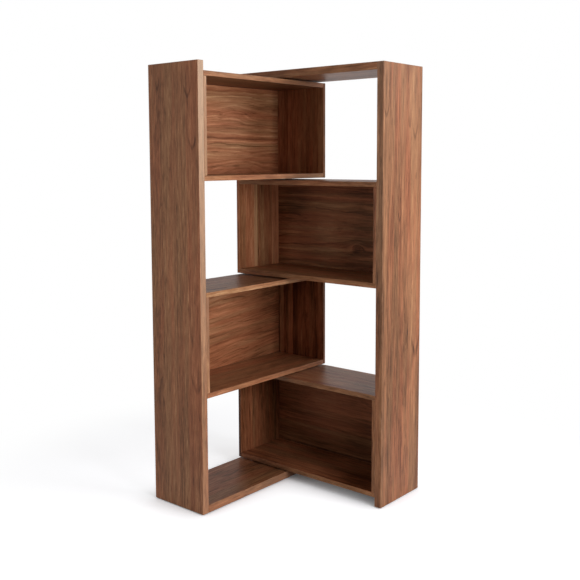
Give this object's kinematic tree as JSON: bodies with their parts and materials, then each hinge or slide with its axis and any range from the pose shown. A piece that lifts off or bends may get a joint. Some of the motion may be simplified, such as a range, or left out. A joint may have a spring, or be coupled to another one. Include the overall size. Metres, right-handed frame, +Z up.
{
  "type": "zigzag bookshelf",
  "caption": "Tall zigzag bookshelf: interlocking halves with inset-backed boxes and open bays, turning on a vertical pivot between corner, straight and folded.",
  "frame": {"origin": "on the floor, at the middle of the square that the corner arrangement covers", "axes": "+Z up; the left half runs along X with its front towards -Y, the right half runs along Y with its front towards -X; the inside of the corner opens towards -X and -Y"},
  "size_m": [0.796, 0.796, 1.803],
  "materials": {
    "walnut_veneer": "satin clear-lacquered walnut veneer on board",
    "bronzed_screw": "bronzed flat-head connecting screw",
    "pivot_steel": "turned, bright zinc-plated steel",
    "pivot_nylon": "natural nylon",
    "glide_plastic": "matte dark brown plastic"
  },
  "bodies": {
    "left_half": {"left_tall_side": "walnut_veneer", "left_base_board": "walnut_veneer", "box_1_top": "walnut_veneer", "box_1_bottom": "walnut_veneer", "box_1_lining": "walnut_veneer", "box_1_end": "walnut_veneer", "box_1_back": "walnut_veneer", "box_1_screw_1": "bronzed_screw", "box_1_screw_2": "bronzed_screw", "box_1_screw_3": "bronzed_screw", "box_1_screw_4": "bronzed_screw", "box_3_top": "walnut_veneer", "box_3_bottom": "walnut_veneer", "box_3_lining": "walnut_veneer", "box_3_end": "walnut_veneer", "box_3_back": "walnut_veneer", "box_3_screw_1": "bronzed_screw", "box_3_screw_2": "bronzed_screw", "box_3_screw_3": "bronzed_screw", "box_3_screw_4": "bronzed_screw", "pivot_pin_1": "pivot_steel", "pivot_bush_2": "pivot_nylon", "pivot_pin_3": "pivot_steel", "pivot_bush_4": "pivot_nylon", "pivot_pin_5": "pivot_steel", "left_side_glide_front": "glide_plastic", "left_side_glide_back": "glide_plastic", "base_glide_front": "glide_plastic", "base_glide_back": "glide_plastic"},
    "right_half": {"right_tall_side": "walnut_veneer", "right_top_board": "walnut_veneer", "box_2_top": "walnut_veneer", "box_2_bottom": "walnut_veneer", "box_2_lining": "walnut_veneer", "box_2_end": "walnut_veneer", "box_2_back": "walnut_veneer", "box_2_screw_1": "bronzed_screw", "box_2_screw_2": "bronzed_screw", "box_2_screw_3": "bronzed_screw", "box_2_screw_4": "bronzed_screw", "box_4_top": "walnut_veneer", "box_4_bottom": "walnut_veneer", "box_4_lining": "walnut_veneer", "box_4_end": "walnut_veneer", "box_4_back": "walnut_veneer", "box_4_screw_1": "bronzed_screw", "box_4_screw_2": "bronzed_screw", "box_4_screw_3": "bronzed_screw", "box_4_screw_4": "bronzed_screw", "pivot_bush_1": "pivot_nylon", "pivot_pin_2": "pivot_steel", "pivot_bush_3": "pivot_nylon", "pivot_pin_4": "pivot_steel", "pivot_bush_5": "pivot_nylon", "right_side_glide_front": "glide_plastic", "right_side_glide_back": "glide_plastic"}
  },
  "joints": [
    {"name": "corner_pivot", "type": "hinge", "parent": "left_half", "child": "right_half", "pos_m": [0.2545, 0.2545, 0.903], "axis": [0, 0, 1], "range_deg": [-62, 242]}
  ]
}
